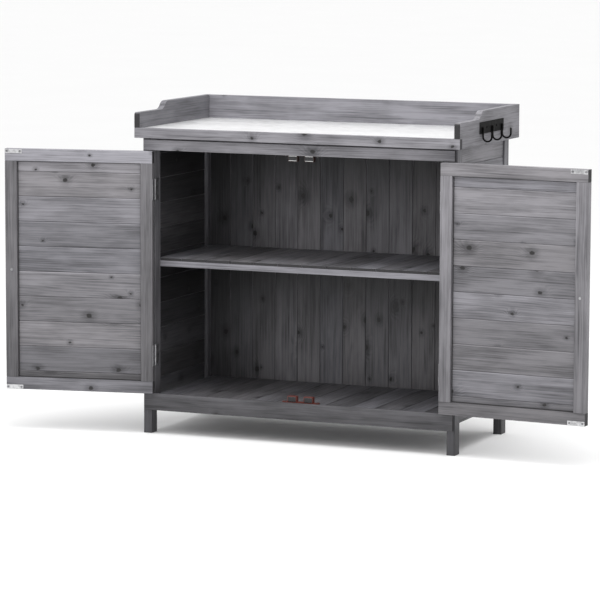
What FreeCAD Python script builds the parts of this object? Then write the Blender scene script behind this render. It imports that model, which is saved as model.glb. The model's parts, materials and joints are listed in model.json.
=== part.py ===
"""Potting bench: a two-door cabinet with a slatted shelf and a metal-topped tray worktop.

Frame: +X to the right, +Y to the back, +Z up, millimetres, origin on the floor under the middle
of the overall box, with both doors standing open. Sizes in the sheet are measured from the
cabinet's own planes: X from its middle, Y from the front of the tray, Z from the floor.
"""
import FreeCAD, Part
import os
import re
import Sketcher

doc = FreeCAD.newDocument("potting_bench")

# --------------------------------------------------------------------------- driving sizes
SIZES = [
    # overall
    ("tray_width", 990.0, "outside width of the tray top"),
    ("tray_depth", 494.0, "front of the fascia to the back of the tray"),
    ("tray_height", 952.0, "floor to the top of the high tray edge"),
    ("cabinet_height", 856.0, "floor to the top of the posts, where the tray rests"),
    # tray
    ("tray_board", 17.5, "thickness of fascia, side boards and back board"),
    ("fascia_high", 29.0, "height of the fascia"),
    ("side_low", 73.0, "height of the low front part of a tray side board"),
    ("curve_front", 143.0, "front end of the side board's S-shaped step"),
    ("curve_long", 49.0, "length of the S-shaped step"),
    ("corner_round", 8.0, "radius of a side board's front top corner"),
    ("sheet_thick", 1.0, "metal worktop sheet"),
    ("sheet_gap", 0.5, "clearance round the metal sheet"),
    ("batten_wide", 40.0, "width of the battens under the worktop boards"),
    # cabinet frame
    ("post_under_tray", 1.5, "how far the posts run out under the tray's side boards"),
    ("frieze_front", 17.0, "front of the frieze and bottom rail, behind the fascia's front"),
    ("front_rail_thick", 9.0, "thickness of the frieze and bottom rail on the posts' faces"),
    ("front_rail_short", 5.0, "post's outer face to the end of the frieze and bottom rail"),
    ("rail_thick", 17.0, "thickness of the inner rails, battens and cleats"),
    ("frieze_high", 35.0, "height of the frieze and the shadow gap over it, under the fascia"),
    ("frieze_gap", 4.5, "shadow gap between the frieze and the fascia"),
    ("rail_foot", 69.0, "floor to the underside of the bottom rails"),
    ("rail_high", 49.0, "height of the front bottom rail"),
    ("post_wide", 25.0, "post width, side to side"),
    ("post_deep", 36.0, "post depth, front to back"),
    ("back_face", 450.0, "back of the rear posts"),
    ("jamb_thick", 12.0, "thickness of the door jambs inside the front posts"),
    ("head_deep", 42.0, "depth of the head rail that carries the upper catch"),
    # boards
    ("board_pitch", 72.5, "cover width of a tongue-and-groove board"),
    ("board_thick", 10.5, "thickness of the boards"),
    ("board_gap", 0.5, "open joint between neighbouring boards"),
    ("board_vee", 1.1, "chamfer along a board's edges"),
    ("tongue_long", 4.0, "how far a tongue reaches into the next groove"),
    ("tongue_fit", 0.2, "clearance round a tongue"),
    ("groove_deep", 6.0, "depth of the grooves that hold board ends"),
    ("groove_fit", 0.2, "clearance of a board in its groove"),
    ("side_inset", 4.5, "side boards' outer face behind the posts' outer face"),
    ("back_inset", 1.5, "back boards' outer face in front of the posts' back"),
    ("side_foot", 86.0, "floor to the lower edge of side and back boards"),
    ("side_seam", 153.0, "height of the lowest joint in the side boards"),
    ("back_seam", 45.0, "middle of the cabinet to the first back board joint"),
    ("door_seam", 173.9, "height of the lowest joint in a door panel"),
    # slats
    ("slat_side_gap", 4.6, "outer slats to the posts"),
    ("slat_gap", 2.4, "gap between slats"),
    ("slat_thick", 8.0, "slat thickness"),
    ("slat_count", 12, "slats in the shelf and in the floor"),
    ("floor_top", 112.0, "floor level inside the cabinet"),
    ("shelf_top", 507.6, "shelf level"),
    ("slat_fit", 0.5, "clearance at the slat ends"),
    # doors
    ("door_gap", 2.0, "clearance above, below and between the doors"),
    ("door_thick", 23.0, "door frame thickness"),
    ("door_member", 35.0, "width of door rails and stiles"),
    ("panel_inset", 2.0, "door panel behind the door's outer face"),
    ("left_open", 169.0, "left door's opening angle as the bench stands"),
    ("right_open", 175.6, "right door's opening angle as the bench stands"),
    # hinges
    ("hinge_long", 60.0, "length of a butt hinge"),
    ("hinge_inset", 110.0, "door end to the middle of a hinge"),
    ("leaf_thick", 1.4, "hinge leaf thickness"),
    ("leaf_wide", 21.0, "hinge leaf width on the wood"),
    ("leaf_gap", 0.2, "gap between the two leaves of a closed hinge"),
    ("knuckle_r", 3.0, "knuckle radius"),
    ("pin_r", 1.6, "hinge pin radius"),
    ("pin_fit", 0.05, "radial clearance of pin in knuckle"),
    ("pin_proud", 4.0, "pin centre in front of the door's outer face"),
    ("knuckle_fit", 0.3, "clearance between a knuckle and the other leaf"),
    # catches and strike plates
    ("catch_spread", 25.0, "middle of the cabinet to the middle of a magnet"),
    ("catch_long", 110.0, "length of a double catch"),
    ("catch_deep", 14.0, "depth of a catch, front to back"),
    ("catch_base", 4.0, "thickness of a catch's base"),
    ("catch_high", 20.0, "height of a catch"),
    ("magnet_wide", 24.0, "width of a magnet"),
    ("magnet_deep", 8.0, "depth of a magnet, front to back"),
    ("pole_thick", 1.2, "thickness of the steel pole plates above and below a magnet"),
    ("pole_proud", 0.8, "how far the pole plates stand out of their block"),
    ("block_wall", 2.0, "plastic either side of a magnet"),
    ("catch_air", 0.4, "gap between the pole plates and their strike plate"),
    ("strike_long", 50.0, "strike plate length"),
    ("strike_high", 12.0, "strike plate height"),
    ("strike_thick", 1.0, "strike plate thickness"),
    ("strike_edge", 1.0, "strike plate to the door's edges"),
    ("strike_screw", 5.5, "strike plate's end to its screw"),
    # knobs
    ("knob_edge", 19.0, "free edge of a door to the middle of its knob"),
    ("knob_stem_r", 4.5, "knob stem radius"),
    ("knob_stem", 12.0, "knob stem length"),
    ("knob_r", 11.5, "knob head radius"),
    ("knob_flange_r", 8.5, "radius of the knob's foot"),
    ("knob_flange", 1.6, "thickness of the knob's foot"),
    ("knob_flat", 5.5, "half the thickness of the knob's head"),
    ("bolt_r", 2.0, "knob bolt radius"),
    ("bolt_grip", 8.0, "how far the bolt reaches into the knob"),
    # hook rack
    ("rack_front", 156.0, "front end of the hook plate"),
    ("rack_long", 198.0, "hook plate length"),
    ("rack_high", 33.0, "hook plate height"),
    ("rack_up", 32.0, "tray board's lower edge to the hook plate's lower edge"),
    ("rack_thick", 1.6, "hook plate thickness"),
    ("hook_first", 19.0, "front end of the plate to the first hook"),
    ("hook_pitch", 80.0, "distance between hooks"),
    ("hook_count", 3, "number of hooks"),
    ("hook_r", 2.5, "hook rod radius"),
    ("hook_bend", 13.0, "bend radius of a hook"),
    ("hook_drop", 8.0, "hook plate's lower edge down to the start of the bend"),
    ("hook_grip", 17.0, "length of hook rod welded to the plate"),
    ("hook_tip", 13.0, "length of a hook's upturned end"),
    # screws
    ("screw_r", 1.5, "screw shank radius"),
    ("screw_head_r", 3.0, "screw head radius"),
    ("screw_fit", 0.1, "radial clearance of a screw in the wood"),
    ("screw_long", 10.0, "screw length"),
    ("screw_dome", 1.6, "height of a domed screw head"),
    ("screw_edge", 7.0, "screw to the end of a plate"),
    ("hinge_screw_step", 22.0, "distance between hinge screws"),
    ("batten_seat", 6.0, "wood under the head of a screw sunk in a batten"),
    # finish
    ("ease", 1.0, "rounded edges of the sawn wood"),
    ("slat_ease", 0.8, "rounded edges of the slats"),
]

sheet = doc.addObject("Spreadsheet::Sheet", "Sizes")
for row, (alias, value, note) in enumerate(SIZES, start=1):
    sheet.set("A%d" % row, note)
    sheet.set("B%d" % row, str(value))
    sheet.setAlias("B%d" % row, alias)
doc.recompute()
ALIASES = set(alias for alias, value, note in SIZES)

# Planes and lengths that several pieces share, worked out from the sizes above.
PLANES = {
    "half_tray": "tray_width/2",
    "half_inside": "(tray_width/2-tray_board)",
    "half_cabinet": "(tray_width/2-tray_board+post_under_tray)",
    "half_rail": "(tray_width/2-tray_board+post_under_tray-front_rail_short)",
    "post_front": "(frieze_front+front_rail_thick)",
    "post_rear": "(frieze_front+front_rail_thick+post_deep)",
    "rear_post_front": "(back_face-post_deep)",
    "back_inner": "(back_face-back_inset-board_thick)",
    "side_outer": "(tray_width/2-tray_board+post_under_tray-side_inset)",
    "side_inner": "(tray_width/2-tray_board+post_under_tray-side_inset-board_thick)",
    "post_inner": "(tray_width/2-tray_board+post_under_tray-post_wide)",
    "jamb_inner": "(tray_width/2-tray_board+post_under_tray-post_wide-jamb_thick)",
    "hinge_x": "(tray_width/2-tray_board+post_under_tray-post_wide-jamb_thick-leaf_thick-leaf_gap/2)",
    "door_edge": "(tray_width/2-tray_board+post_under_tray-post_wide-jamb_thick-2*leaf_thick-leaf_gap)",
    "hinge_y": "(frieze_front+front_rail_thick-pin_proud+1)",
    "door_front": "(frieze_front+front_rail_thick+1)",
    "door_inner": "(frieze_front+front_rail_thick+1+door_thick)",
    "frieze_low": "(cabinet_height-frieze_high)",
    "rail_top": "(rail_foot+rail_high)",
    "door_low": "(rail_foot+rail_high+door_gap)",
    "door_high": "(cabinet_height-frieze_high-door_gap)",
    "door_middle": "((rail_foot+rail_high+cabinet_height-frieze_high)/2)",
    "board_top": "(cabinet_height+fascia_high-1-sheet_thick)",
    "board_low": "(cabinet_height+fascia_high-1-sheet_thick-board_thick)",
    "tray_inner_back": "(tray_depth-tray_board)",
    "slats_half": "(tray_width/2-tray_board+post_under_tray-post_wide-slat_side_gap)",
    "slat_pitch": "((tray_width-2*(tray_board-post_under_tray+post_wide+slat_side_gap)+slat_gap)/slat_count)",
    "slat_wide": "((tray_width-2*(tray_board-post_under_tray+post_wide+slat_side_gap)+slat_gap)/slat_count-slat_gap)",
    "rack_low": "(cabinet_height+rack_up)",
    "leaf_screw_y": "(frieze_front+front_rail_thick-pin_proud+1+pin_proud+leaf_wide*0.62)",
    "catch_screw_y": "(frieze_front+front_rail_thick+1+door_thick+strike_thick+catch_air+pole_proud+catch_deep/2)",
    "tray_screw_x": "(tray_width/2-tray_board+post_under_tray-post_wide*0.75)",
    "catch_front": "(frieze_front+front_rail_thick+1+door_thick+strike_thick+catch_air+pole_proud)",
}

WORD = re.compile(r"[a-z_]+[a-z0-9_]*")


def linked(text):
    """Turn the names of sizes and planes in a formula into links to the sheet."""
    planes = WORD.sub(lambda m: PLANES.get(m.group(0), m.group(0)), text)
    return WORD.sub(lambda m: "Sizes." + m.group(0) if m.group(0) in ALIASES else m.group(0), planes)


def bind(feature, **formulas):
    """Bind properties of a feature to formulas."""
    for name, text in formulas.items():
        feature.setExpression(name, linked(text))


def vector_text(at):
    return "vector(%s; %s; %s)" % tuple(at)


def away(at, corner):
    """The formulas of a point as seen from a corner."""
    return tuple("(%s)-(%s)" % pair for pair in zip(at, corner))


# --------------------------------------------------------------------------- frames
# The cabinet stands still, and each door turns about its hinge line.
def make_frame(name, formula=None):
    frame = doc.addObject("App::Placement", name)
    if formula:
        bind(frame, Placement=formula)
    return frame


cabinet = make_frame("cabinet_frame")
DOOR_TURN = "placement(vector(0; 0; 0); rotation(vector(0; 0; 1); %s); vector(%s; hinge_y; 0))"
left_door = make_frame("left_door_frame", "cabinet_frame.Placement*" + DOOR_TURN % ("-left_open", "-hinge_x"))
right_door = make_frame("right_door_frame", "cabinet_frame.Placement*" + DOOR_TURN % ("right_open", "hinge_x"))
doc.recompute()

nodes = []


# --------------------------------------------------------------------------- piece builder
NO_TURN = ("0", "0", "1", "0")
# Turns that point a primitive's own Z along an axis of its frame.
POINT = {
    "+X": ("0", "1", "0", "90"),
    "-X": ("0", "1", "0", "-90"),
    "+Y": ("1", "0", "0", "-90"),
    "-Y": ("1", "0", "0", "90"),
    "+Z": NO_TURN,
    "-Z": ("1", "0", "0", "180"),
}


def placed(at, turn=NO_TURN):
    return "placement(%s; rotation(vector(%s; %s; %s); %s))" % ((vector_text(at),) + tuple(turn))


class Piece:
    """A PartDesign body standing at a corner given in its frame, and built up from primitives."""

    def __init__(self, label, corner, frame=None, turn=NO_TURN):
        self.body = doc.addObject("PartDesign::Body", label)
        self.corner = corner
        self.frame = frame or cabinet
        bind(self.body, Placement="%s.Placement*%s" % (self.frame.Name, placed(corner, turn)))

    def primitive(self, kind, offset, turn=NO_TURN, **sizes):
        """A primitive at an offset from the piece's own corner, in the piece's own directions."""
        feature = self.body.newObject("PartDesign::" + kind, kind)
        bind(feature, **sizes)
        bind(feature, Placement=placed(offset, turn))
        return feature

    def box(self, at, size, kind="AdditiveBox"):
        return self.primitive(kind, away(at, self.corner), Length=size[0], Width=size[1], Height=size[2])

    def cut_box(self, at, size):
        return self.box(at, size, "SubtractiveBox")

    def bore(self, at, outward, depth, radius="screw_r+screw_fit"):
        """A screw hole that starts at a place on a surface and goes in against the outward axis."""
        sign, axis = outward
        opposite = ("-" if sign == "+" else "+") + axis
        return self.primitive("SubtractiveCylinder", away(at, self.corner), POINT[opposite],
                              Radius=radius, Height=depth)

    def ease(self, radius="ease"):
        """Round every edge made so far."""
        doc.recompute()
        fillet = self.body.newObject("PartDesign::Fillet", "Ease")
        fillet.Base = (self.body.Group[-2], ["Edge1"])
        fillet.UseAllEdges = True
        bind(fillet, Radius=radius)
        return fillet

    def repeat(self, feature, axis, pitch, count):
        """Repeat a feature along an axis of the body."""
        row = self.body.newObject("PartDesign::LinearPattern", "Row")
        row.Originals = [feature]
        line = [item for item in self.body.Origin.OriginFeatures if item.Role == axis][0]
        row.Direction = (line, [""])
        bind(row, Occurrences=count, Length="(%s)*(%s-1)" % (pitch, count))
        self.body.Tip = row
        return row


def keep(shape_object, label):
    """List an object as a finished sub-part under the name of its file."""
    shape_object.Label = label
    nodes.append(shape_object)
    return shape_object


def stick(label, corner, size, frame=None, cuts=()):
    """A sawn stick: a block with rounded edges, and with pockets given as (corner, size)."""
    piece = Piece(label, corner, frame)
    piece.box(corner, size)
    piece.ease()
    for cut_at, cut_size in cuts:
        piece.cut_box(cut_at, cut_size)
    keep(piece.body, label)
    return piece


def group(label, bodies):
    """Several like solids that share one node."""
    compound = doc.addObject("Part::Compound", label + "_group")
    compound.Links = bodies
    return keep(compound, label)


def sided(side, near, far):
    """Lowest X of a piece that lies between two distances from the middle, on one side."""
    return near if side > 0 else "-(%s)" % far


def at_side(side, distance):
    return distance if side > 0 else "-(%s)" % distance


def inward(side):
    """The direction that faces the middle of the cabinet from one side."""
    return "-X" if side > 0 else "+X"


def outward(side):
    return "+X" if side > 0 else "-X"


SIDES = (("left", -1, left_door), ("right", 1, right_door))


# --------------------------------------------------------------------------- sketches
def add_outline(body, plane_role, corners, arcs=None):
    """A closed sketch through corners given as formulas.

    arcs gives some sides, by number, as (rise, radius): rise is the arc's height over its
    chord's length, positive to the left of the direction of travel, and radius is a formula.
    """
    arcs = arcs or {}
    sketch = body.newObject("Sketcher::SketchObject", "Outline")
    plane = [item for item in body.Origin.OriginFeatures if item.Role == plane_role][0]
    sketch.AttachmentSupport = [(plane, "")]
    sketch.MapMode = "FlatFace"
    texts = [(linked(across), linked(along)) for across, along in corners]
    points = [FreeCAD.Vector(sketch.evalExpression(a), sketch.evalExpression(b), 0) for a, b in texts]
    count = len(points)
    for index, start in enumerate(points):
        end = points[(index + 1) % count]
        if index in arcs:
            rise = arcs[index][0]
            chord = end - start
            middle = (start + end) * 0.5 + FreeCAD.Vector(-chord.y, chord.x, 0) * rise
            first, last = (end, start) if rise > 0 else (start, end)
            sketch.addGeometry(Part.Arc(first, middle, last), False)
        else:
            sketch.addGeometry(Part.LineSegment(start, end), False)
    ends = [line_ends(sketch.Geometry[index], points[index]) for index in range(count)]
    for index in range(count):
        after = (index + 1) % count
        join = Sketcher.Constraint("Coincident", index, ends[index][1], after, ends[after][0])
        sketch.addConstraint(join)
    for index, (across, along) in enumerate(texts):
        hold_point(sketch, index, ends[index][0], points[index], across, along)
    for index, (rise, radius) in arcs.items():
        number = sketch.addConstraint(Sketcher.Constraint("Radius", index, sketch.Geometry[index].Radius))
        sketch.setExpression("Constraints[%d]" % number, linked(radius))
    return sketch


def line_ends(curve, start):
    """The numbers of a curve's first and second end, in the outline's order."""
    first = curve.StartPoint if hasattr(curve, "StartPoint") else curve.value(curve.FirstParameter)
    return (1, 2) if (first - start).Length < 1e-6 else (2, 1)


def hold_point(sketch, curve, end, point, across, along):
    """Hold a corner at its two formulas, or on an axis where a formula is nought."""
    for axis, kind, value, text in ((-2, "DistanceX", point.x, across), (-1, "DistanceY", point.y, along)):
        if text == "0":
            sketch.addConstraint(Sketcher.Constraint("PointOnObject", curve, end, axis))
            continue
        number = sketch.addConstraint(Sketcher.Constraint(kind, -1, 1, curve, end, value))
        sketch.setExpression("Constraints[%d]" % number, text)


# --------------------------------------------------------------------------- tongue-and-groove boards
BOARD_PROFILE = [
    ("board_gap+board_vee", "0"),
    ("board_pitch-board_vee", "0"),
    ("board_pitch", "board_vee"),
    ("board_pitch", "board_thick/3"),
    ("board_pitch+tongue_long", "board_thick/3"),
    ("board_pitch+tongue_long", "board_thick*2/3"),
    ("board_pitch", "board_thick*2/3"),
    ("board_pitch", "board_thick-board_vee"),
    ("board_pitch-board_vee", "board_thick"),
    ("board_gap+board_vee", "board_thick"),
    ("board_gap", "board_thick-board_vee"),
    ("board_gap", "board_thick*2/3+tongue_fit"),
    ("tongue_long+tongue_fit+board_gap", "board_thick*2/3+tongue_fit"),
    ("tongue_long+tongue_fit+board_gap", "board_thick/3-tongue_fit"),
    ("board_gap", "board_thick/3-tongue_fit"),
    ("board_gap", "board_vee"),
]


def board_layout(lie, first, low, span, face, start, length):
    """Where a board profile starts and how it turns, and the box that trims the row.

    The profile's own X stacks the boards, its Y is their thickness and its Z their length.
    """
    thick = "board_thick"
    return {
        # boards stand up, side by side across X
        "upright": ((first, face, start), NO_TURN, (low, face, start), (span, thick, length)),
        # boards run along X, one above the other
        "level": ((start, "(%s)+%s" % (face, thick), first), ("1", "0", "1", "180"),
                  (start, face, low), (length, thick, span)),
        # boards run along X and lie side by side, front to back
        "flat": ((start, first, face), ("1", "1", "1", "120"), (start, low, face), (length, span, thick)),
        # boards run along Y, one above the other
        "deep": ((face, start, first), ("1", "1", "1", "-120"), (face, start, low), (thick, length, span)),
    }[lie]


def board_row(label, lie, seam, low, high, face, start, length, frame=None):
    """Boards between low and high with a joint at seam; the outer boards are ripped to fit."""
    span = "(%s)-(%s)" % (high, low)
    first = "(%s)-board_pitch*ceil(((%s)-(%s))/board_pitch)" % (seam, seam, low)
    count = "ceil(((%s)-(%s))/board_pitch)+1" % (high, low)
    corner, turn, trim_corner, trim_size = board_layout(lie, first, low, span, face, start, length)
    piece = Piece(label + "_stock", corner, frame, turn)
    sketch = add_outline(piece.body, "XY_Plane", BOARD_PROFILE)
    board = piece.body.newObject("PartDesign::Pad", "Board")
    board.Profile = sketch
    bind(board, Length=length)
    doc.recompute()
    piece.repeat(board, "X_Axis", "board_pitch", "(%s)" % count)
    trim = doc.addObject("Part::Box", label + "_trim")
    bind(trim, Length=trim_size[0], Width=trim_size[1], Height=trim_size[2])
    bind(trim, Placement="%s.Placement*%s" % (piece.frame.Name, placed(trim_corner)))
    row = doc.addObject("Part::Common", label + "_boards")
    row.Base = piece.body
    row.Tool = trim
    return keep(row, label)


# --------------------------------------------------------------------------- cabinet frame
def build_posts():
    for side_name, side, door in SIDES:
        left = sided(side, "post_inner", "half_cabinet")
        groove_left = sided(side, "side_inner-groove_fit", "side_outer+groove_fit")
        groove_size = ("board_thick+2*groove_fit", "groove_deep+10", "cabinet_height")
        size = ("post_wide", "post_deep", "cabinet_height")
        front_groove = ((groove_left, "post_rear-groove_deep", "side_foot-groove_fit"), groove_size)
        rear_groove = ((groove_left, "rear_post_front-10", "side_foot-groove_fit"), groove_size)
        rebate_left = sided(side, "post_inner-10", "post_inner+groove_deep")
        rebate = ((rebate_left, "back_inner", "side_foot-groove_fit"),
                  ("groove_deep+10", "board_thick+back_inset+10", "cabinet_height"))
        front = stick("front_%s_post" % side_name, (left, "post_front", "0"), size, cuts=[front_groove])
        rear = stick("rear_%s_post" % side_name, (left, "rear_post_front", "0"), size,
                     cuts=[rear_groove, rebate])
        for post, front_face in ((front, "post_front"), (rear, "rear_post_front")):
            post.bore((at_side(side, "tray_screw_x"), front_face + "+post_deep/2", "cabinet_height"), "+Z",
                      "screw_long+screw_fit")


def build_jambs():
    for side_name, side, door in SIDES:
        corner = (sided(side, "jamb_inner", "post_inner"), "post_front", "floor_top")
        jamb = stick("%s_door_jamb" % side_name, corner,
                     ("jamb_thick", "post_deep", "cabinet_height-floor_top"))
        for height in HINGE_HEIGHTS:
            for screw in HINGE_SCREWS:
                place = (at_side(side, "jamb_inner"), "leaf_screw_y", "%s+%s" % (height, screw))
                jamb.bore(place, inward(side), "screw_long-leaf_thick+screw_fit")


def build_rails():
    across = "2*half_rail"
    for label, low, high in (("frieze_rail", "frieze_low", "frieze_high-frieze_gap"),
                             ("bottom_front_rail", "rail_foot", "rail_high")):
        stick(label, ("-half_rail", "frieze_front", low), (across, "front_rail_thick", high))
    head = stick("head_rail", ("-jamb_inner", "post_front", "frieze_low"),
                 ("2*jamb_inner", "head_deep", "frieze_high"))
    for screw_x in CATCH_SCREWS:
        head.bore((screw_x, "catch_screw_y", "frieze_low"), "-Z", "screw_long-catch_base+screw_fit")
    between = "2*post_inner"
    rear_front = "back_inner-rail_thick"
    bearer_high = "floor_top-slat_thick-rail_foot"
    stick("rear_top_rail", ("-post_inner", rear_front, "frieze_low"), (between, "rail_thick", "frieze_high"))
    stick("rear_bottom_rail", ("-post_inner", rear_front, "rail_foot"), (between, "rail_thick", bearer_high))
    stick("front_floor_bearer", ("-post_inner", "post_front", "rail_foot"), (between, "rail_thick", bearer_high))


def build_boards():
    run = "rear_post_front-post_rear+2*groove_deep-2*groove_fit"
    for side_name, side, door in SIDES:
        board_row("%s_side_boards" % side_name, "deep", "side_seam", "side_foot", "cabinet_height",
                  sided(side, "side_inner", "side_outer"), "post_rear-groove_deep+groove_fit", run)
    edge = "post_inner+groove_deep-groove_fit"
    board_row("back_boards", "upright", "back_seam", "-(%s)" % edge, edge, "back_inner", "side_foot",
              "cabinet_height-side_foot")


# --------------------------------------------------------------------------- shelf and floor
def slats(label, front, top):
    """A row of slats laid front to back."""
    corner = ("-slats_half", front, "%s-slat_thick" % top)
    piece = Piece(label, corner)
    first = piece.box(corner, ("slat_wide", "back_inner-slat_fit-(%s)" % front, "slat_thick"))
    piece.repeat(first, "X_Axis", "slat_pitch", "slat_count")
    piece.ease("slat_ease")
    keep(piece.body, label)
    return piece


def build_shelf():
    under = "shelf_top-slat_thick-rail_thick"
    slats("shelf_slats", "post_rear", "shelf_top")
    long = "2*(side_inner-slat_fit)"
    stick("shelf_front_batten", ("-(side_inner-slat_fit)", "post_rear", under), (long, "rail_thick", "rail_thick"))
    stick("shelf_rear_batten", ("-post_inner", "back_inner-rail_thick", under),
          ("2*post_inner", "rail_thick", "rail_thick"))
    cleats = []
    for side_name, side, door in SIDES:
        corner = (sided(side, "side_inner-rail_thick", "side_inner"), "post_rear+rail_thick", under)
        cleat = Piece("%s_shelf_cleat" % side_name, corner)
        cleat.box(corner, ("rail_thick", "rear_post_front-post_rear-rail_thick", "rail_thick"))
        cleat.ease()
        cleats.append(cleat.body)
    group("shelf_side_cleats", cleats)


def build_floor():
    floor = slats("floor_slats", "post_front", "floor_top")
    for screw_x in CATCH_SCREWS:
        floor.bore((screw_x, "catch_screw_y", "floor_top"), "+Z", "screw_long-catch_base+screw_fit")


# --------------------------------------------------------------------------- tray top
def build_tray_sides():
    """Side boards, notched over the fascia's ends, that rise in an S from a low front to a high back."""
    low_end = "curve_front"
    high_end = "curve_front+curve_long"
    rise = "(tray_height-cabinet_height-side_low)"
    radius = "((curve_long/2)^2+(%s/2)^2)/%s" % (rise, rise)
    corners = [
        ("tray_board", "0"),
        ("tray_depth", "0"),
        ("tray_depth", "tray_height-cabinet_height"),
        (high_end, "tray_height-cabinet_height"),
        ("curve_front+curve_long/2", "side_low+%s/2" % rise),
        (low_end, "side_low"),
        ("corner_round", "side_low"),
        ("0", "side_low-corner_round"),
        ("0", "fascia_high"),
        ("tray_board", "fascia_high"),
    ]
    arcs = {3: (-0.11, radius), 4: (0.11, radius), 6: (-0.207, "corner_round")}
    for side_name, side, door in SIDES:
        corner = (sided(side, "half_inside", "half_tray"), "0", "cabinet_height")
        piece = Piece("%s_tray_board" % side_name, corner)
        sketch = add_outline(piece.body, "YZ_Plane", corners, arcs)
        board = piece.body.newObject("PartDesign::Pad", "Board")
        board.Profile = sketch
        bind(board, Length="tray_board")
        piece.ease()
        if side > 0:
            for screw_y in RACK_SCREWS:
                piece.bore(("half_tray", screw_y, RACK_MIDDLE), "+X", "screw_long-rack_thick+screw_fit")
        keep(piece.body, "%s_tray_board" % side_name)


def build_tray():
    inside = "2*half_inside"
    stick("fascia_board", ("-half_tray", "0", "cabinet_height"), ("2*half_tray", "tray_board", "fascia_high"))
    stick("back_tray_board", ("-half_inside", "tray_inner_back", "cabinet_height"),
          (inside, "tray_board", "tray_height-cabinet_height"))
    depth = "tray_inner_back-tray_board"
    high = "board_low-cabinet_height"
    battens = []
    for name, left in (("left", "-half_inside"), ("middle", "-batten_wide/2"), ("right", "half_inside-batten_wide")):
        corner = (left, "tray_board", "cabinet_height")
        batten = Piece("%s_worktop_batten" % name, corner)
        batten.box(corner, ("batten_wide", depth, high))
        batten.ease()
        if name != "middle":
            screw_x = "-tray_screw_x" if name == "left" else "tray_screw_x"
            for screw_y in POST_MIDDLES:
                batten.bore((screw_x, screw_y, "board_low"), "+Z", high)
                batten.bore((screw_x, screw_y, "board_low"), "+Z", high + "-batten_seat",
                            "screw_head_r+screw_fit")
        battens.append(batten.body)
    group("worktop_battens", battens)
    board_row("worktop_boards", "flat", "tray_board+board_pitch", "tray_board", "tray_inner_back", "board_low",
              "-half_inside", inside)
    sheet_corner = ("-half_inside+sheet_gap", "tray_board+sheet_gap", "board_top")
    metal = Piece("metal_worktop", sheet_corner)
    metal.box(sheet_corner, (inside + "-2*sheet_gap", depth + "-2*sheet_gap", "sheet_thick"))
    keep(metal.body, "metal_worktop")


# --------------------------------------------------------------------------- hook rack
def build_rack():
    corner = ("half_tray", "rack_front", "rack_low")
    plate = Piece("hook_plate", corner)
    plate.box(corner, ("rack_thick", "rack_long", "rack_high"))
    plate.ease("rack_thick/4")
    for screw_y in RACK_SCREWS:
        plate.bore(("half_tray+rack_thick", screw_y, RACK_MIDDLE), "+X", "rack_thick")
    keep(plate.body, "hook_plate")
    hooks = []
    for index in range(int(sheet.hook_count)):
        at_y = "rack_front+hook_first+%d*hook_pitch" % index
        corner = ("half_tray+rack_thick+hook_r", at_y, "rack_low-hook_drop")
        hook = Piece("hook_%d" % (index + 1), corner)
        hook.primitive("AdditiveCylinder", ("0", "0", "0"), Radius="hook_r", Height="hook_drop+hook_grip")
        hook.primitive("AdditiveTorus", ("hook_bend", "0", "0"), ("1", "0", "0", "-90"),
                       Radius1="hook_bend", Radius2="hook_r", Angle3="180")
        hook.primitive("AdditiveCylinder", ("2*hook_bend", "0", "0"), Radius="hook_r", Height="hook_tip")
        hook.primitive("AdditiveSphere", ("2*hook_bend", "0", "hook_tip"), Radius="hook_r")
        hook.primitive("AdditiveSphere", ("0", "0", "hook_drop+hook_grip"), Radius="hook_r")
        hooks.append(hook.body)
    group("hooks", hooks)


# --------------------------------------------------------------------------- doors
def build_door(side_name, side, frame):
    across = "(door_edge-door_gap/2)"
    free = "door_gap/2"
    inner_free = "door_gap/2+door_member"
    inner_hinge = "door_edge-door_member"
    panel_face = "door_front+panel_inset"
    open_high = "door_high-door_low-2*door_member"
    groove_thick = "board_thick+2*groove_fit"
    left = sided(side, free, "door_edge")
    groove_left = sided(side, inner_free + "-groove_deep", inner_hinge + "+groove_deep")
    groove_wide = "(%s)-(%s)+2*groove_deep" % (inner_hinge, inner_free)
    rails = []
    for name, low, groove_low in (("top", "door_high-door_member", "door_high-door_member-10"),
                                  ("bottom", "door_low", "door_low+door_member-groove_deep")):
        groove = ((groove_left, panel_face + "-groove_fit", groove_low),
                  (groove_wide, groove_thick, "groove_deep+10"))
        rail = stick("%s_door_%s_rail" % (side_name, name), (left, "door_front", low),
                     (across, "door_thick", "door_member"), frame, [groove])
        for screw in STRIKE_SCREWS:
            place = (at_side(side, screw), "door_inner", STRIKE_MIDDLE[name])
            rail.bore(place, "+Y", "screw_long-strike_thick+screw_fit")
    for name, near, groove_near in (("free", free, inner_free + "-groove_deep"),
                                    ("hinge", inner_hinge, inner_hinge + "-10")):
        far = "%s+door_member" % near
        corner = (sided(side, near, far), "door_front", "door_low+door_member")
        groove = ((sided(side, groove_near, groove_near + "+groove_deep+10"), panel_face + "-groove_fit", "door_low"),
                  ("groove_deep+10", groove_thick, "door_high-door_low"))
        stile = stick("%s_door_%s_stile" % (side_name, name), corner, ("door_member", "door_thick", open_high),
                      frame, [groove])
        if name == "free":
            stile.bore((at_side(side, KNOB_X), "door_front", "door_middle"), "-Y", "door_thick", "bolt_r+screw_fit")
        else:
            for height in HINGE_HEIGHTS:
                for screw in HINGE_SCREWS:
                    place = (at_side(side, "door_edge"), "leaf_screw_y", "%s+%s" % (height, screw))
                    stile.bore(place, outward(side), "screw_long-leaf_thick+screw_fit")
    board_row("%s_door_panel_boards" % side_name, "level", "door_seam",
              "door_low+door_member-groove_deep+groove_fit", "door_high-door_member+groove_deep-groove_fit",
              panel_face, sided(side, inner_free + "-groove_deep+groove_fit", inner_hinge + "+groove_deep-groove_fit"),
              groove_wide + "-2*groove_fit", frame)


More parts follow.
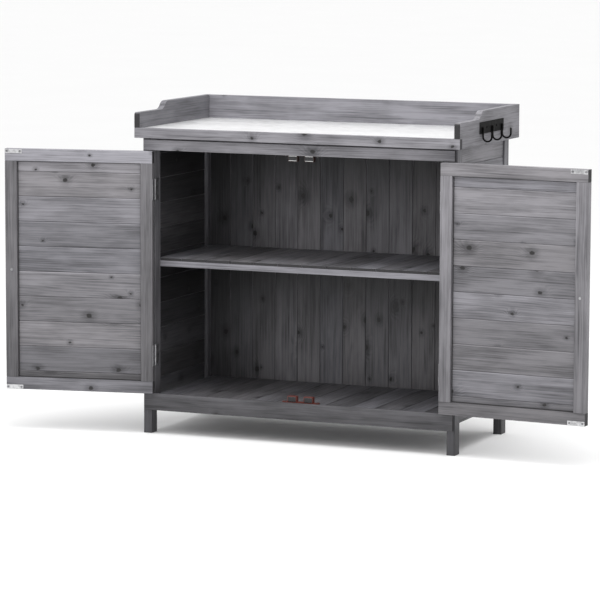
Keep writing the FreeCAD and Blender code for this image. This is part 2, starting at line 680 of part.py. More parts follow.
def build_strike_plates(side_name, side, frame):
    plates = []
    near = "door_gap/2+strike_edge"
    for name, low in (("top", "door_high-strike_edge-strike_high"), ("bottom", "door_low+strike_edge")):
        corner = (sided(side, near, near + "+strike_long"), "door_inner", low)
        plate = Piece("%s_%s_strike_plate" % (side_name, name), corner, frame)
        plate.box(corner, ("strike_long", "strike_thick", "strike_high"))
        for screw in STRIKE_SCREWS:
            place = (at_side(side, screw), "door_inner+strike_thick", STRIKE_MIDDLE[name])
            plate.bore(place, "+Y", "strike_thick")
        plates.append(plate.body)
    group("%s_strike_plates" % side_name, plates)


def build_knob(side_name, side, frame):
    """A turned knob, and the bolt that holds it from inside the door."""
    place = (at_side(side, KNOB_X), "door_front", "door_middle")
    knob = Piece("%s_knob" % side_name, place, frame, POINT["-Y"])
    knob.primitive("AdditiveCylinder", ("0", "0", "0"), Radius="knob_flange_r", Height="knob_flange")
    knob.primitive("AdditiveCylinder", ("0", "0", "0"), Radius="knob_stem_r", Height="knob_stem+knob_flat")
    knob.primitive("AdditiveEllipsoid", ("0", "0", "knob_stem+knob_flat"), Radius1="knob_flat",
                   Radius2="knob_r", Radius3="knob_r", Angle1="-90", Angle2="90")
    knob.primitive("SubtractiveCylinder", ("0", "0", "-1"), Radius="bolt_r+screw_fit",
                   Height="bolt_grip+1+screw_fit")
    keep(knob.body, "%s_knob" % side_name)
    head_place = (at_side(side, KNOB_X), "door_inner", "door_middle")
    bolt = Piece("%s_knob_bolt" % side_name, head_place, frame, POINT["+Y"])
    bolt.primitive("AdditiveCylinder", ("0", "0", "0"), Radius="screw_head_r+1", Height="screw_dome")
    bolt.primitive("AdditiveCylinder", ("0", "0", "-door_thick-bolt_grip"), Radius="bolt_r",
                   Height="door_thick+bolt_grip")
    keep(bolt.body, "%s_knob_bolt" % side_name)


# --------------------------------------------------------------------------- hinges
def build_leaf(label, side, height, frame, on_door):
    """One leaf of a butt hinge with its own knuckles: the outer two on the frame, the middle one on the door."""
    third = "hinge_long/3"
    bottom = "%s-hinge_long/2" % height
    face = "door_edge" if on_door else "jamb_inner-leaf_thick"
    left = sided(side, face, face + "+leaf_thick")
    corner = (left, "hinge_y", bottom)
    leaf = Piece(label, corner, frame)
    leaf.box(corner, ("leaf_thick", "leaf_wide+pin_proud", "hinge_long"))
    own = ["1"] if on_door else ["0", "2"]
    other = ["0", "2"] if on_door else ["1"]
    for number in other:
        leaf.cut_box((left + "-1", "hinge_y-1", "%s+%s*%s-knuckle_fit" % (bottom, number, third)),
                     ("leaf_thick+2", "knuckle_r+knuckle_fit+1", third + "+2*knuckle_fit"))
    for number in own:
        place = (at_side(side, "hinge_x"), "hinge_y", "%s+%s*%s+knuckle_fit/2" % (bottom, number, third))
        offset = away(place, corner)
        leaf.primitive("AdditiveCylinder", offset, Radius="knuckle_r", Height=third + "-knuckle_fit")
    middle = away((at_side(side, "hinge_x"), "hinge_y", bottom), corner)
    leaf.primitive("SubtractiveCylinder", middle, Radius="pin_r+pin_fit", Height="hinge_long")
    seat = outward(side) if on_door else inward(side)
    surface = "door_edge+leaf_thick" if on_door else "jamb_inner-leaf_thick"
    for screw in HINGE_SCREWS:
        place = (at_side(side, surface), "leaf_screw_y", "%s+%s" % (height, screw))
        leaf.bore(place, seat, "leaf_thick")
        countersink(leaf, place, seat)
    return leaf.body


def countersink(leaf, place, seat):
    """Widen a screw hole into a cone as deep as the leaf."""
    sign, axis = seat
    opposite = ("-" if sign == "+" else "+") + axis
    leaf.primitive("SubtractiveCone", away(place, leaf.corner), POINT[opposite],
                   Radius1="screw_head_r+screw_fit", Radius2="screw_r+screw_fit", Height="leaf_thick")


def build_hinges():
    pins = []
    for side_name, side, door in SIDES:
        frame_leaves = []
        door_leaves = []
        for name, height in zip(("lower", "upper"), HINGE_HEIGHTS):
            label = "%s_%s" % (side_name, name)
            frame_leaves.append(build_leaf(label + "_frame_leaf", side, height, None, False))
            door_leaves.append(build_leaf(label + "_door_leaf", side, height, door, True))
            foot = (at_side(side, "hinge_x"), "hinge_y", "%s-hinge_long/2" % height)
            pin = Piece(label + "_hinge_pin", foot)
            pin.primitive("AdditiveCylinder", ("0", "0", "0"), Radius="pin_r", Height="hinge_long")
            pins.append(pin.body)
        group("%s_hinge_frame_leaves" % side_name, frame_leaves)
        group("%s_hinge_door_leaves" % side_name, door_leaves)
    group("hinge_pins", pins)


# --------------------------------------------------------------------------- magnetic catches
def rise(up, base, near, far):
    """Lowest Z of a piece between two heights from a catch's base, upright or upside down."""
    return "%s+%s" % (base, near) if up else "%s-(%s)" % (base, far)


def build_catch(name, base, up):
    """A plastic double catch: a base with two ears and two blocks, each holding a magnet between pole plates."""
    corner = ("-catch_long/2", "catch_front", rise(up, base, "0", "catch_base"))
    catch = Piece("%s_catch_body" % name, corner)
    catch.box(corner, ("catch_long", "catch_deep", "catch_base"))
    block_wide = "(magnet_wide+2*block_wall)"
    magnets = []
    poles = []
    for middle in ("-catch_spread", "catch_spread"):
        block = ("%s-%s/2" % (middle, block_wide), "catch_front", rise(up, base, "0", "catch_high"))
        catch.box(block, (block_wide, "catch_deep", "catch_high"))
        left = "%s-magnet_wide/2" % middle
        pocket_low, pocket_high = "catch_base", "catch_high-block_wall"
        stack = "catch_high-block_wall-catch_base"
        catch.cut_box((left, "catch_front-1", rise(up, base, pocket_low, pocket_high)),
                      ("magnet_wide", "magnet_deep+1", stack))
        magnet_at = (left, "catch_front", rise(up, base, "catch_base+pole_thick", pocket_high + "-pole_thick"))
        magnet = Piece("%s_magnet" % name, magnet_at)
        magnet.box(magnet_at, ("magnet_wide", "magnet_deep", stack + "-2*pole_thick"))
        magnets.append(magnet.body)
        for near, far in (("catch_base", "catch_base+pole_thick"), (pocket_high + "-pole_thick", pocket_high)):
            pole_at = (left, "catch_front-pole_proud", rise(up, base, near, far))
            pole = Piece("%s_pole_plate" % name, pole_at)
            pole.box(pole_at, ("magnet_wide", "magnet_deep+pole_proud", "pole_thick"))
            poles.append(pole.body)
    for screw_x in CATCH_SCREWS:
        catch.bore((screw_x, "catch_screw_y", base + ("+catch_base" if up else "-catch_base")),
                   "+Z" if up else "-Z", "catch_base")
    keep(catch.body, "%s_catch_body" % name)
    return magnets, poles


def build_catches():
    lower_magnets, lower_poles = build_catch("lower", "floor_top", True)
    upper_magnets, upper_poles = build_catch("upper", "frieze_low", False)
    group("catch_magnets", lower_magnets + upper_magnets)
    group("catch_pole_plates", lower_poles + upper_poles)


# --------------------------------------------------------------------------- screws
def screw(label, place, facing, frame=None, sunk=False):
    """A screw whose head faces along an axis and stands on, or is sunk in, the surface at its place."""
    piece = Piece(label, place, frame, POINT[facing])
    piece.primitive("AdditiveCylinder", ("0", "0", "-screw_long"), Radius="screw_r", Height="screw_long")
    if sunk:
        piece.primitive("AdditiveCone", ("0", "0", "-leaf_thick"), Radius1="screw_r", Radius2="screw_head_r",
                        Height="leaf_thick")
    else:
        piece.primitive("AdditiveCylinder", ("0", "0", "0"), Radius="screw_head_r", Height="screw_dome")
    return piece.body


def build_screws():
    fixed = []
    for side_name, side, door in SIDES:
        moving = []
        for height in HINGE_HEIGHTS:
            for offset in HINGE_SCREWS:
                at_z = "%s+%s" % (height, offset)
                on_frame = (at_side(side, "jamb_inner-leaf_thick"), "leaf_screw_y", at_z)
                on_door = (at_side(side, "door_edge+leaf_thick"), "leaf_screw_y", at_z)
                fixed.append(screw("frame_leaf_screw", on_frame, inward(side), sunk=True))
                moving.append(screw("door_leaf_screw", on_door, outward(side), door, sunk=True))
        for name in ("top", "bottom"):
            for offset in STRIKE_SCREWS:
                place = (at_side(side, offset), "door_inner+strike_thick", STRIKE_MIDDLE[name])
                moving.append(screw("strike_screw", place, "+Y", door))
        group("%s_door_screws" % side_name, moving)
    group("hinge_frame_screws", fixed)
    catch = []
    for screw_x in CATCH_SCREWS:
        catch.append(screw("catch_screw", (screw_x, "catch_screw_y", "floor_top+catch_base"), "+Z"))
        catch.append(screw("catch_screw", (screw_x, "catch_screw_y", "frieze_low-catch_base"), "-Z"))
    group("catch_screws", catch)
    rack = [screw("rack_screw", ("half_tray+rack_thick", at_y, RACK_MIDDLE), "+X") for at_y in RACK_SCREWS]
    group("hook_plate_screws", rack)
    tray = []
    for screw_x in ("-tray_screw_x", "tray_screw_x"):
        for at_y in POST_MIDDLES:
            tray.append(screw("tray_screw", (screw_x, at_y, "cabinet_height+batten_seat"), "+Z"))
    group("tray_screws", tray)


# --------------------------------------------------------------------------- places that pieces share
HINGE_HEIGHTS = ("door_low+hinge_inset", "door_high-hinge_inset")
HINGE_SCREWS = ("(-hinge_screw_step)", "0", "hinge_screw_step")
STRIKE_SCREWS = ("door_gap/2+strike_edge+strike_screw", "door_gap/2+strike_edge+strike_long-strike_screw")
STRIKE_MIDDLE = {
    "top": "door_high-strike_edge-strike_high/2",
    "bottom": "door_low+strike_edge+strike_high/2",
}
CATCH_SCREWS = ("-(catch_long/2-screw_edge)", "catch_long/2-screw_edge")
RACK_SCREWS = ("rack_front+hook_first+hook_pitch/2", "rack_front+hook_first+hook_pitch*3/2")
RACK_MIDDLE = "rack_low+rack_high/2"
POST_MIDDLES = ("post_front+post_deep/2", "rear_post_front+post_deep/2")
KNOB_X = "door_gap/2+knob_edge"


def build_all():
    build_posts()
    build_jambs()
    build_rails()
    build_boards()
    build_floor()
    build_shelf()
    build_tray_sides()
    build_tray()
    build_rack()
    for side_name, side, frame in SIDES:
        build_door(side_name, side, frame)
        build_strike_plates(side_name, side, frame)
        build_knob(side_name, side, frame)
    build_hinges()
    build_catches()
    build_screws()
    doc.recompute()


def centre_frame():
    """Move everything so that the origin is on the floor under the middle of the overall box."""
    whole = FreeCAD.BoundBox()
    for node in nodes:
        whole.add(node.Shape.BoundBox)
    cabinet.Placement.Base = FreeCAD.Vector(-whole.Center.x, -whole.Center.y, 0)
    doc.recompute()
    print("origin is at X %.4f Y %.4f of the cabinet's own planes" % (whole.Center.x, whole.Center.y))


def check_document():
    for item in doc.Objects:
        if "Invalid" in item.State or "Error" in item.State:
            raise RuntimeError("%s failed to build" % item.Label)
    for node in nodes:
        if node.Shape.isNull() or not node.Shape.isValid() or not node.Shape.Solids:
            raise RuntimeError("%s has no valid solid" % node.Label)


build_all()
centre_frame()
check_document()
os.makedirs("parts", exist_ok=True)
for node in nodes:
    node.Shape.exportStep("parts/%s.step" % node.Label)
print("%d nodes, %d solids" % (len(nodes), sum(len(node.Shape.Solids) for node in nodes)))
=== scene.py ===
"""Potting bench: finishes, small fixings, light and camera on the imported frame."""
import json
import math
import bpy
from mathutils import Euler, Matrix, Vector


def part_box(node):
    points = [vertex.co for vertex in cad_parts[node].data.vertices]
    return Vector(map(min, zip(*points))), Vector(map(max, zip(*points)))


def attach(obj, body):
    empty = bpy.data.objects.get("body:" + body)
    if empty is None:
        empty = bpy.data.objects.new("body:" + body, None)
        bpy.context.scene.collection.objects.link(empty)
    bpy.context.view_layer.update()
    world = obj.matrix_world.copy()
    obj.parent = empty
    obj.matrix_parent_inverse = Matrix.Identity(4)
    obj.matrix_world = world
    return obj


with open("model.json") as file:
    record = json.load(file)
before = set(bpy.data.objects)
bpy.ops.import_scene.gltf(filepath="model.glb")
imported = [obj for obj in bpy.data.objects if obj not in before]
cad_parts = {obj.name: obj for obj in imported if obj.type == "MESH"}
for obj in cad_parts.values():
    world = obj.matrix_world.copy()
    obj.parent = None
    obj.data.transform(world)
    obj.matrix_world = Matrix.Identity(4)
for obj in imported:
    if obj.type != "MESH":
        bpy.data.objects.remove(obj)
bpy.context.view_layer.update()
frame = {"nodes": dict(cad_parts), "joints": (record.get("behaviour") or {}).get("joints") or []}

nodes = frame["nodes"]
MM = 0.001
X, Y, Z = Vector((1, 0, 0)), Vector((0, 1, 0)), Vector((0, 0, 1))

# --------------------------------------------------------------------------- node helpers


class Tree:
    """Short calls for adding and linking nodes in one shader, node group or geometry tree."""

    def __init__(self, node_tree):
        self.tree = node_tree

    def add(self, kind, **settings):
        node = self.tree.nodes.new(kind)
        for name, value in settings.items():
            setattr(node, name, value)
        return node

    def feed(self, socket, value):
        if isinstance(value, bpy.types.NodeSocket):
            self.tree.links.new(value, socket)
        elif value is not None:
            socket.default_value = value

    def feed_named(self, node, values):
        for name, value in values.items():
            self.feed(node.inputs[name.replace("_", " ")], value)
        return node.outputs

    def math(self, operation, first, second=None):
        node = self.add("ShaderNodeMath", operation=operation)
        self.feed(node.inputs[0], first)
        self.feed(node.inputs[1], second)
        return node.outputs[0]

    def plus(self, first, *others):
        total = first
        for value in others:
            total = self.math("ADD", total, value)
        return total

    def minus(self, first, second):
        return self.math("SUBTRACT", first, second)

    def times(self, first, second):
        return self.math("MULTIPLY", first, second)

    def over(self, first, second):
        return self.math("DIVIDE", first, second)

    def vector(self, operation, first, second=None):
        node = self.add("ShaderNodeVectorMath", operation=operation)
        self.feed(node.inputs[0], first)
        self.feed(node.inputs[1], second)
        return node.outputs["Value" if operation in ("LENGTH", "DOT_PRODUCT") else "Vector"]

    def combine(self, x=0.0, y=0.0, z=0.0):
        node = self.add("ShaderNodeCombineXYZ")
        for socket, value in zip(node.inputs, (x, y, z)):
            self.feed(socket, value)
        return node.outputs[0]

    def split(self, vector):
        node = self.add("ShaderNodeSeparateXYZ")
        self.feed(node.inputs[0], vector)
        return tuple(node.outputs)

    def split_colour(self, colour):
        node = self.add("ShaderNodeSeparateColor")
        self.feed(node.inputs[0], colour)
        return tuple(node.outputs)

    def place(self):
        """The point's place in the bench's own frame, in metres."""
        return self.add("ShaderNodeTexCoord").outputs["Object"]

    def noise(self, vector, scale=1.0, detail=2.0, roughness=0.5, distortion=0.0):
        node = self.add("ShaderNodeTexNoise")
        return self.feed_named(node, {"Vector": vector, "Scale": scale, "Detail": detail,
                                      "Roughness": roughness, "Distortion": distortion})["Fac"]

    def stretched(self, vector, along, across, through=None):
        """The place scaled by how many times a pattern repeats in a metre, each way."""
        through = across if through is None else through
        return self.vector("MULTIPLY", vector, self.combine(along, across, through))

    def ramp(self, value, low, high, to_low=0.0, to_high=1.0, kind="SMOOTHSTEP"):
        node = self.add("ShaderNodeMapRange", interpolation_type=kind)
        return self.feed_named(node, {"Value": value, "From Min": low, "From Max": high,
                                      "To Min": to_low, "To Max": to_high})["Result"]

    def straight(self, value, to_low, to_high):
        """A value of 0 to 1, spread evenly over another range."""
        return self.ramp(value, 0.0, 1.0, to_low, to_high, "LINEAR")

    def mix(self, amount, first, second, blend="MIX"):
        node = self.add("ShaderNodeMix", data_type="RGBA", blend_type=blend)
        for socket, value in zip((node.inputs[0], node.inputs[6], node.inputs[7]),
                                 (amount, first, second)):      # factor and the two colours
            self.feed(socket, value)
        return node.outputs[2]

    def tinted(self, colour, tint):
        return self.mix(1.0, colour, tint, "MULTIPLY")

    def shaded(self, colour, shade):
        return self.tinted(colour, self.combine(shade, shade, shade))

    def bump(self, height, strength, distance):
        node = self.add("ShaderNodeBump")
        return self.feed_named(node, {"Strength": strength, "Distance": distance,
                                      "Height": height})["Normal"]

    def group(self, group, **values):
        return self.feed_named(self.add("ShaderNodeGroup", node_tree=group), values)


def new_group(name, inputs, outputs):
    """An empty shader group with named sockets; returns it, its Tree and the two ends."""
    group = bpy.data.node_groups.new(name, "ShaderNodeTree")
    for socket_name, default in inputs:
        kind = "NodeSocketVector" if default is None else "NodeSocketFloat"
        socket = group.interface.new_socket(name=socket_name, in_out="INPUT", socket_type=kind)
        if default is not None:
            socket.default_value = default
    for socket_name in outputs:
        group.interface.new_socket(name=socket_name, in_out="OUTPUT", socket_type="NodeSocketFloat")
    tree = Tree(group)
    return group, tree, tree.add("NodeGroupInput").outputs, tree.add("NodeGroupOutput").inputs


# --------------------------------------------------------------------------- shared effects


def make_board_group():
    """Which board a point is on: random values for it, and how far the nearest joint is."""
    group, t, given, out = new_group(
        "Board Count",
        [("Across", 0.0), ("Pitch", 0.1), ("Joint", 0.0), ("Seed", 0.0)],
        ["Random", "Random 2", "Joint Distance", "Within"])
    place = t.over(t.minus(given["Across"], given["Joint"]), given["Pitch"])
    number = t.math("FLOOR", place)
    noise = t.add("ShaderNodeTexWhiteNoise", noise_dimensions="2D")
    t.feed(noise.inputs["Vector"], t.combine(number, given["Seed"]))
    t.feed(out["Random"], noise.outputs["Value"])
    t.feed(out["Random 2"], t.split_colour(noise.outputs["Color"])[1])
    within = t.minus(place, number)
    nearest = t.math("MINIMUM", within, t.minus(1.0, within))
    t.feed(out["Joint Distance"], t.times(nearest, given["Pitch"]))
    t.feed(out["Within"], within)
    return group


KNOT_BOARD_SHIFT = 91.7         # cells that one board's knots are moved along from the next one's
KNOT_SCATTER = 0.85             # 0 is a regular grid of knots, 1 is no order at all
KNOT_STRETCH = 0.78             # below 1 draws a knot out along the grain
KNOT_WOBBLE_SCALE = 170.0
KNOT_WOBBLE = 5 * MM
KNOT_SMALLEST, KNOT_LARGEST = 0.35, 1.25      # of the radius
KNOT_SOLID = 0.55               # of a knot's size: inside it the core is full
HALO_INNER, HALO_OUTER = 0.8, 3.4             # of a knot's size
SWIRL_OUTER = 5.0


def make_knot_group():
    """Scattered knots. Along runs with the grain; a cell of board holds about one knot."""
    group, t, given, out = new_group(
        "Knots",
        [("Vector", None), ("Random", 0.0), ("Cell Long", 0.2), ("Cell Wide", 0.05),
         ("Amount", 0.4), ("Radius", 0.007)],
        ["Core", "Halo", "Swirl"])
    along, across, _ = t.split(given["Vector"])
    cells = t.combine(t.plus(t.over(along, given["Cell Long"]),
                             t.times(given["Random"], KNOT_BOARD_SHIFT)),
                      t.over(across, given["Cell Wide"]))
    spots = t.add("ShaderNodeTexVoronoi", voronoi_dimensions="2D")
    t.feed_named(spots, {"Vector": cells, "Scale": 1.0, "Randomness": KNOT_SCATTER})
    apart_along, apart_across, _ = t.split(
        t.vector("SUBTRACT", cells, spots.outputs["Position"]))
    apart = t.combine(t.times(t.times(apart_along, given["Cell Long"]), KNOT_STRETCH),
                      t.times(apart_across, given["Cell Wide"]))
    wobble = t.minus(t.noise(given["Vector"], KNOT_WOBBLE_SCALE, 1.0), 0.5)
    distance = t.plus(t.vector("LENGTH", apart), t.times(wobble, KNOT_WOBBLE))
    chance, chance_of_size, _ = t.split_colour(spots.outputs["Color"])
    there = t.math("LESS_THAN", chance, given["Amount"])
    size = t.times(given["Radius"], t.straight(chance_of_size, KNOT_SMALLEST, KNOT_LARGEST))
    for name, outer, inner in (("Core", size, t.times(size, KNOT_SOLID)),
                               ("Halo", t.times(size, HALO_OUTER), t.times(size, HALO_INNER)),
                               ("Swirl", t.times(size, SWIRL_OUTER), 0.0)):
        t.feed(out[name], t.times(t.ramp(distance, outer, inner), there))
    return group


GRAIN_BOARD_SHIFT = 37.0        # metres that one board's grain is moved along from the next one's
WAVER_REPEATS = (1.3, 9.0)      # along and across the grain, in a metre
FIBRE_REPEATS = (11.0, 620.0)
STREAK_REPEATS = (3.4, 105.0)
VEIN_REPEATS = (5.0, 300.0)
PITH_SPREAD = 50 * MM           # how far to either side of a board the tree's heart may lie
PITH_DEPTH = 12 * MM
SWIRL_BEND = 20 * MM            # how far the rings are pushed aside round a knot


def make_grain_group():
    """Growth rings cut lengthwise, with dark streaks, veins and fine fibre over them."""
    group, t, given, out = new_group(
        "Grain",
        [("Vector", None), ("Random", 0.0), ("Random 2", 0.0), ("Swirl", 0.0),
         ("Ring Width", 0.007), ("Waver", 0.012)],
        ["Rings", "Fibre", "Streak", "Vein"])
    along, across, through = t.split(given["Vector"])
    base = t.combine(t.plus(along, t.times(given["Random"], GRAIN_BOARD_SHIFT)), across, through)
    slow = t.noise(t.stretched(base, *WAVER_REPEATS), detail=2.0, roughness=0.55)
    waver = t.times(t.minus(slow, 0.5), t.times(given["Waver"], 4.0))
    pith = t.times(t.minus(given["Random 2"], 0.5), PITH_SPREAD)
    side = t.plus(t.minus(across, pith), waver)
    depth = t.plus(through, PITH_DEPTH, t.times(waver, 0.8))
    radius = t.plus(t.vector("LENGTH", t.combine(0.0, side, depth)),
                    t.times(given["Swirl"], SWIRL_BEND))
    turns = t.math("FRACT", t.over(radius, given["Ring Width"]))
    t.feed(out["Rings"], t.times(t.ramp(turns, 0.15, 0.85), t.ramp(turns, 0.88, 1.0, 1.0, 0.0)))
    t.feed(out["Fibre"], t.noise(t.stretched(base, *FIBRE_REPEATS), detail=3.0, roughness=0.6))
    t.feed(out["Streak"], t.noise(t.stretched(base, *STREAK_REPEATS), detail=4.0,
                                  roughness=0.66, distortion=0.5))
    vein = t.noise(t.stretched(base, *VEIN_REPEATS), detail=3.0, roughness=0.6, distortion=0.4)
    t.feed(out["Vein"], t.ramp(vein, 0.52, 0.74))
    return group


BLOTCH_DRAWN_OUT = 3.2          # length of a blotch over its width


def make_blotch_group():
    """Uneven stain, as soft blotches drawn out along the grain."""
    group, t, given, out = new_group("Stain Blotches", [("Vector", None), ("Size", 0.055)], ["Blotch"])
    size = t.combine(t.times(given["Size"], BLOTCH_DRAWN_OUT), given["Size"], given["Size"])
    t.feed(out["Blotch"], t.noise(t.vector("DIVIDE", given["Vector"], size), detail=3.0, roughness=0.55))
    return group


MIDDLE_HEIGHTS = (0.10, 0.86)   # metres: between these the painted shade goes from Low to High
FOOT_HEIGHTS = (0.02, 0.16)
FOOT_SHADE = 0.55


def make_height_shade_group():
    """Painted shade and light by height: darker towards the ground, paler at the top, with more painted
    shade at the foot.
    """
    group, t, given, out = new_group(
        "Painted Height Shade", [("Height", 0.5), ("Low", 0.72), ("High", 1.2)], ["Shade"])
    middle = t.ramp(given["Height"], *MIDDLE_HEIGHTS, given["Low"], given["High"], "LINEAR")
    foot = t.ramp(given["Height"], *FOOT_HEIGHTS, FOOT_SHADE, 1.0)
    t.feed(out["Shade"], t.times(middle, foot))
    return group


BOARD_COUNT = make_board_group()
KNOTS = make_knot_group()
GRAIN = make_grain_group()
BLOTCHES = make_blotch_group()
HEIGHT_SHADE = make_height_shade_group()


# --------------------------------------------------------------------------- stained wood


def new_material(name):
    material = bpy.data.materials.new(name)
    material.use_nodes = True
    material.node_tree.nodes.clear()
    tree = Tree(material.node_tree)
    shader = tree.add("ShaderNodeBsdfPrincipled")
    output = tree.add("ShaderNodeOutputMaterial")
    tree.feed(output.inputs["Surface"], shader.outputs[0])
    return material, tree, shader


def board_space(along, across, pivot=(0, 0, 0)):
    """The turn and shift from the bench's frame to a board's own directions."""
    along, across = Vector(along), Vector(across)
    turn = Matrix((along, across, along.cross(across)))
    return Matrix.Translation(-(turn @ Vector(pivot))) @ turn.to_4x4()


def board_place(t, to_board):
    """The place turned so that X runs with the grain, Y across the board, Z through it."""
    mapping = t.add("ShaderNodeMapping", vector_type="POINT")
    mapping.inputs["Location"].default_value = to_board.to_translation()
    mapping.inputs["Rotation"].default_value = to_board.to_euler("XYZ")
    t.feed(mapping.inputs["Vector"], t.place())
    return mapping.outputs[0]


def facing(t, direction):
    """1 where a face looks along a direction of the bench's own frame."""
    normal = t.add("ShaderNodeTexCoord").outputs["Normal"]
    return t.ramp(t.vector("DOT_PRODUCT", normal, direction), 0.6, 0.85)


def cut_ends(t, to_board):
    """1 where a face looks along the grain, so that it is cut across the fibres."""
    grain_way = Vector(to_board.to_3x3().row[0])
    return t.math("MAXIMUM", facing(t, grain_way), facing(t, -grain_way))


STAIN_LIGHT = (0.218, 0.215, 0.237, 1)
STAIN_DARK = (0.066, 0.065, 0.073, 1)
# Painted highlight on each board's upper chamfer.
EDGE_HIGHLIGHT = (1.5, 1.5, 1.5, 1)
BARE_WARMTH = (1.03, 1.0, 0.95, 1)
END_GRAIN = (0.040, 0.039, 0.043, 1)
KNOT_DARK = (0.009, 0.008, 0.008, 1)
WHOLE = 8.0                     # pitch of a piece that is one board
BLOTCH_BOARD_SHIFT = 23.0       # metres that one board's blotches are moved along from the next one's
DARKEST_BOARD, PALEST_BOARD = 0.74, 1.16
# Painted shade on inside faces: below what hangs over them, and towards one corner.
CEILING_REACH = 0.30            # how far below a ceiling its painted shade fades out
CEILING_SHADE = 0.86
CORNER_REACH = 0.30
CORNER_SHADES = (0.40, 1.22)    # painted shade in the corner, and painted light past its reach
RECESS_SHADE_LINE = (1.2 * MM, 4.5 * MM)            # painted shade in the frame's groove: full and faded, in from the frame
JOINT_LINE = (0.3 * MM, 1.2 * MM)
CHAMFER_BAND = (0.945, 0.98)    # of a board's width: its upper chamfer, where a highlight is painted


def stain_depth(t, grain, blotch, knot):
    """How much of the dark stain shows at a point."""
    return t.plus(t.times(grain["Rings"], t.ramp(blotch, 0.35, 0.65, 0.02, 0.24)),
                  t.ramp(grain["Streak"], 0.30, 0.74, -0.04, 0.54),
                  t.times(grain["Vein"], 0.34),
                  t.ramp(grain["Fibre"], 0.3, 0.75, -0.10, 0.20),
                  t.ramp(blotch, 0.3, 0.7, -0.18, 0.20),
                  t.times(knot["Halo"], 0.45))


def inside_shade(t, across, height, tone, under, corner):
    """How light an inside face is: painted shade below each ceiling and towards the corner, painted light
    past it.
    """
    for ceiling in under:
        below = t.minus(ceiling, height)
        hidden = t.times(t.ramp(below, 0.0, CEILING_REACH, CEILING_SHADE, 0.0),
                         t.math("GREATER_THAN", below, 0.0))
        tone = t.times(tone, t.minus(1.0, hidden))
    if corner is not None:
        tone = t.times(tone, t.ramp(t.minus(across, corner), 0.0, CORNER_REACH, *CORNER_SHADES))
    return tone


def from_frame(t, along, across, opening):
    """How far a point of a panel is from the frame round it. Opening: ends along, ends across."""
    distance = 1.0
    for way, (start, end) in zip((along, across), opening):
        distance = t.math("MINIMUM", distance, t.minus(way, start))
        distance = t.math("MINIMUM", distance, t.minus(end, way))
    return distance


def stained_wood(name, to_board, pitch=WHOLE, joint=-WHOLE / 2, seed=0.0, knots=0.35, tone=1.0,
                 inside=None, inside_tone=1.0, under=(), corner=None, opening=None, edge_highlight=0.0):
    """Grey-stained softwood. Boards of one pitch differ in tone and grain from joint to joint.

    inside is the way that an inner face looks; that face gets painted shade, under the heights of what
    hangs over it, and corner is where its darkest end starts.
    opening is a panel's opening, with a painted shade line in the groove round it; the last setting is a
    painted highlight on the boards' upper chamfers.
    """
    material, t, shader = new_material(name)
    place = board_place(t, to_board)
    along, across, through = t.split(place)
    height = t.split(t.place())[2]
    board = t.group(BOARD_COUNT, Across=across, Pitch=pitch, Joint=joint, Seed=seed)
    knot = t.group(KNOTS, Vector=place, Random=board["Random"], Amount=knots)
    grain = t.group(GRAIN, Vector=place, Random=board["Random"], Random_2=board["Random 2"],
                    Swirl=knot["Swirl"])
    shifted = t.combine(t.plus(along, t.times(board["Random"], BLOTCH_BOARD_SHIFT)), across, through)
    blotch = t.group(BLOTCHES, Vector=shifted)["Blotch"]

    stain = t.mix(stain_depth(t, grain, blotch, knot), STAIN_LIGHT, STAIN_DARK)
    # Random tone for each board, times painted shade and light by height.
    shade = t.times(t.straight(board["Random 2"], DARKEST_BOARD * tone, PALEST_BOARD * tone),
                    t.group(HEIGHT_SHADE, Height=height)["Shade"])
    # Inner faces get painted shade.
    if inside:
        dark = inside_shade(t, across, height, inside_tone, under, corner)
        shade = t.times(shade, t.straight(facing(t, inside), 1.0, dark))
    stain = t.shaded(stain, shade)
    stain = t.mix(t.straight(board["Random"], 0.0, 0.8), stain, t.tinted(stain, BARE_WARMTH))
    stain = t.mix(t.times(knot["Core"], 0.95), stain, KNOT_DARK)
    # Painted highlight along each board's upper chamfer.
    if edge_highlight:
        painted_highlight = t.ramp(board["Within"], *CHAMFER_BAND, 0.0, edge_highlight)
        stain = t.mix(painted_highlight, stain, t.tinted(stain, EDGE_HIGHLIGHT))
    stain = t.mix(t.ramp(board["Joint Distance"], *JOINT_LINE, 0.25, 0.0), stain, KNOT_DARK)
    # Painted shade in the groove where the panel meets its frame.
    if opening:
        stain = t.mix(t.ramp(from_frame(t, along, across, opening), *RECESS_SHADE_LINE, 0.88, 0.0),
                      stain, KNOT_DARK)
    ends = cut_ends(t, to_board)
    stain = t.mix(ends, stain, t.mix(grain["Fibre"], END_GRAIN, KNOT_DARK))
    t.feed(shader.inputs["Base Color"], stain)

    rough = t.plus(t.ramp(grain["Fibre"], 0.2, 0.8, 0.50, 0.66), t.times(ends, 0.2))
    t.feed(shader.inputs["Roughness"], t.minus(rough, t.times(knot["Core"], 0.15)))
    shader.inputs["Specular IOR Level"].default_value = 0.42
    relief = t.plus(t.times(grain["Fibre"], 0.45), t.times(grain["Rings"], -0.25))
    relief = t.minus(relief, t.times(knot["Core"], 0.7))
    t.feed(shader.inputs["Normal"], t.bump(relief, 0.45, 0.4 * MM))
    return material


# --------------------------------------------------------------------------- metal and plastic


def grey(value, blue=None):
    return value, value, value if blue is None else blue, 1


